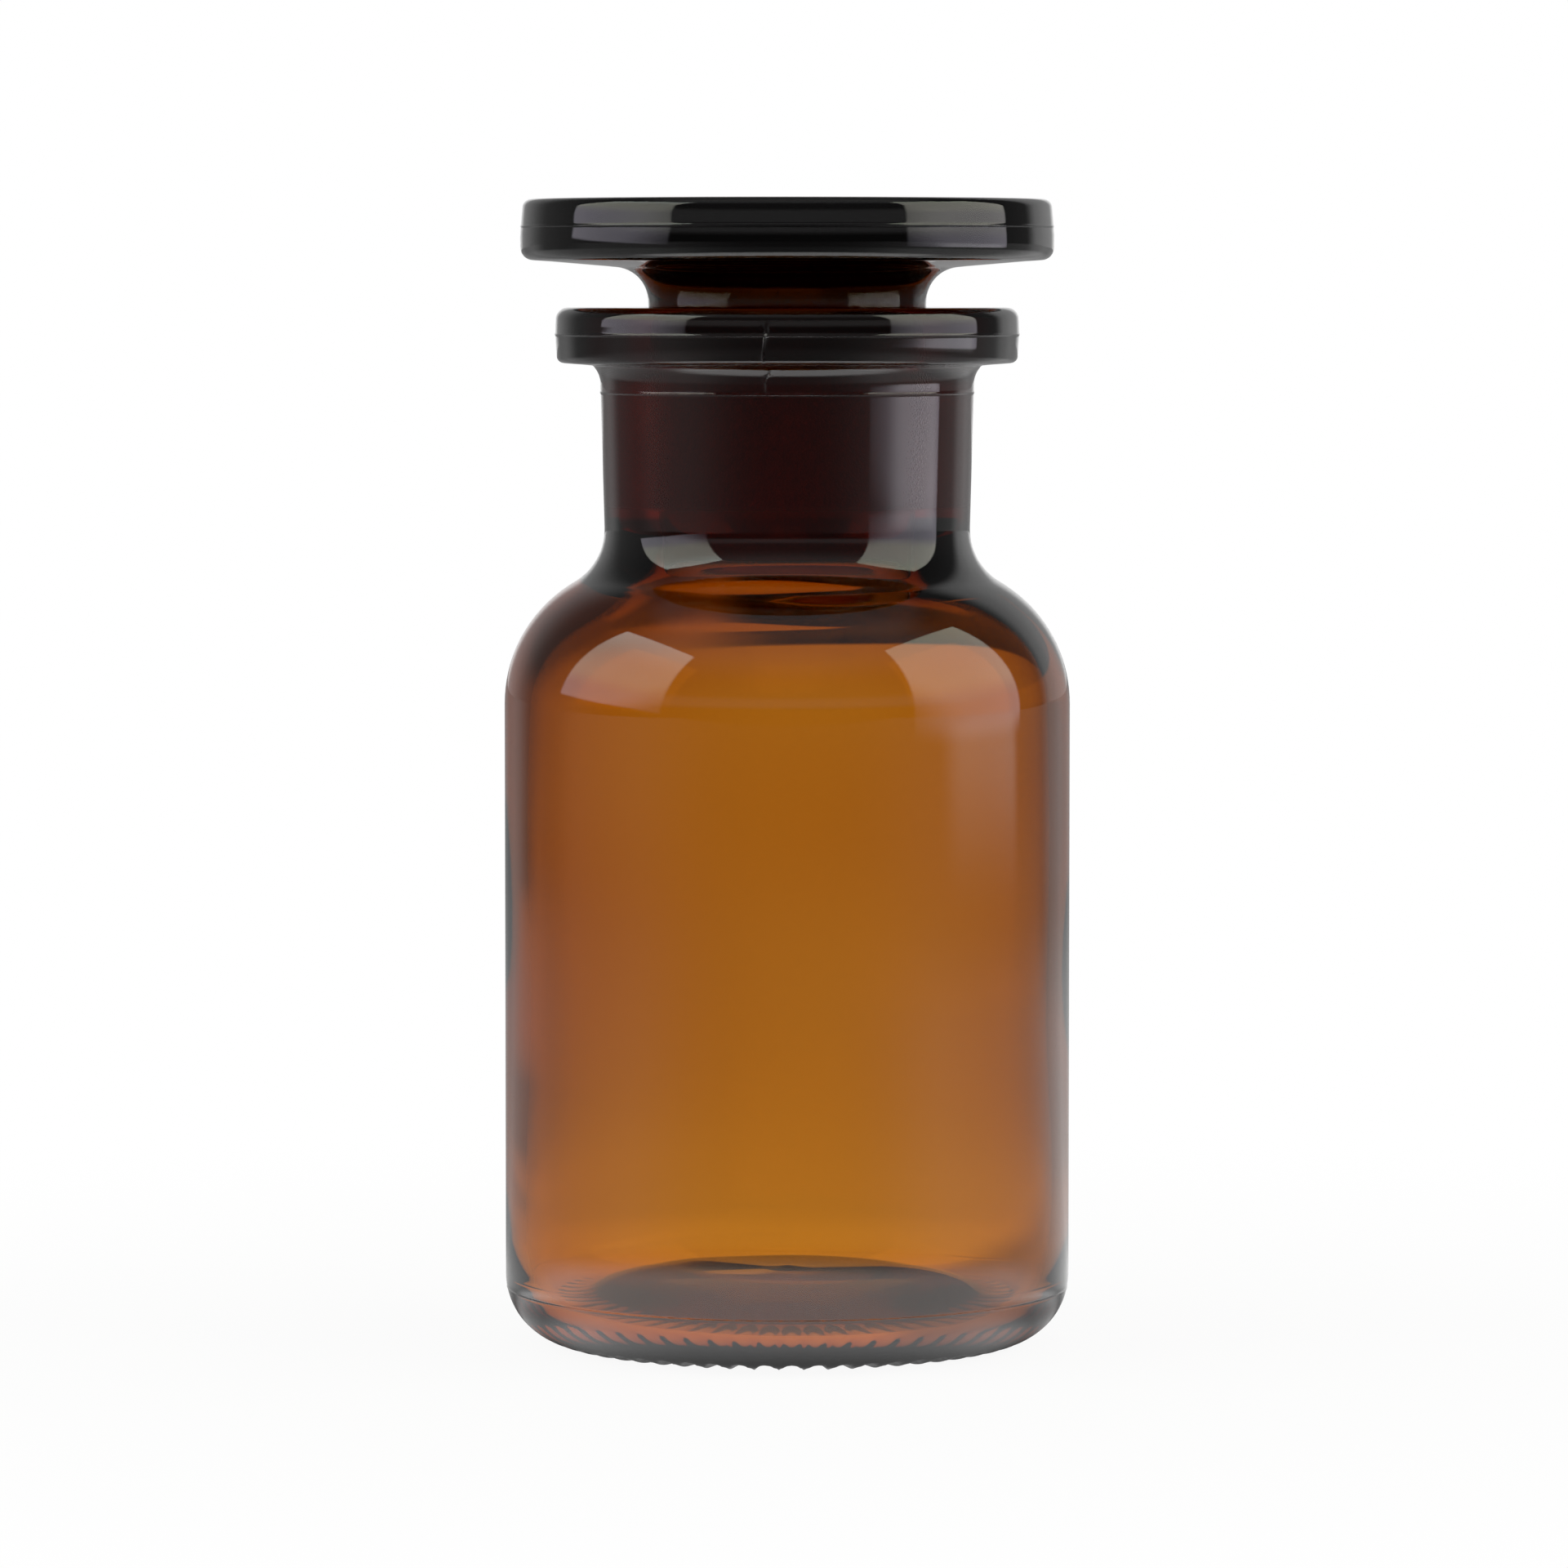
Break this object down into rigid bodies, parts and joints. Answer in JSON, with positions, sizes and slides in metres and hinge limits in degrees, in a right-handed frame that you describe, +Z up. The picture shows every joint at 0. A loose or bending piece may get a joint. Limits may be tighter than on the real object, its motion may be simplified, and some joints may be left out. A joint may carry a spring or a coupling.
{
  "type": "reagent bottle",
  "caption": "Amber wide-mouth glass reagent bottle with a flat-headed hollow stopper that lifts out of the ground taper in its neck.",
  "frame": {"origin": "centre of the bearing ring, on the surface the bottle stands on", "axes": "+Z up along the axis of bottle and stopper, -Y towards the viewer of the front"},
  "size_m": [0.07, 0.07, 0.1418],
  "materials": {
    "amber_glass": "clear amber glass, ground matt on the plug and in the neck's socket"
  },
  "bodies": {
    "bottle": {"bottle": "amber_glass"},
    "stopper": {"stopper": "amber_glass"}
  },
  "joints": [
    {"name": "stopper_lift", "type": "slide", "parent": "bottle", "child": "stopper", "axis": [0, 0, 1], "range_m": [0, 0.07]}
  ]
}
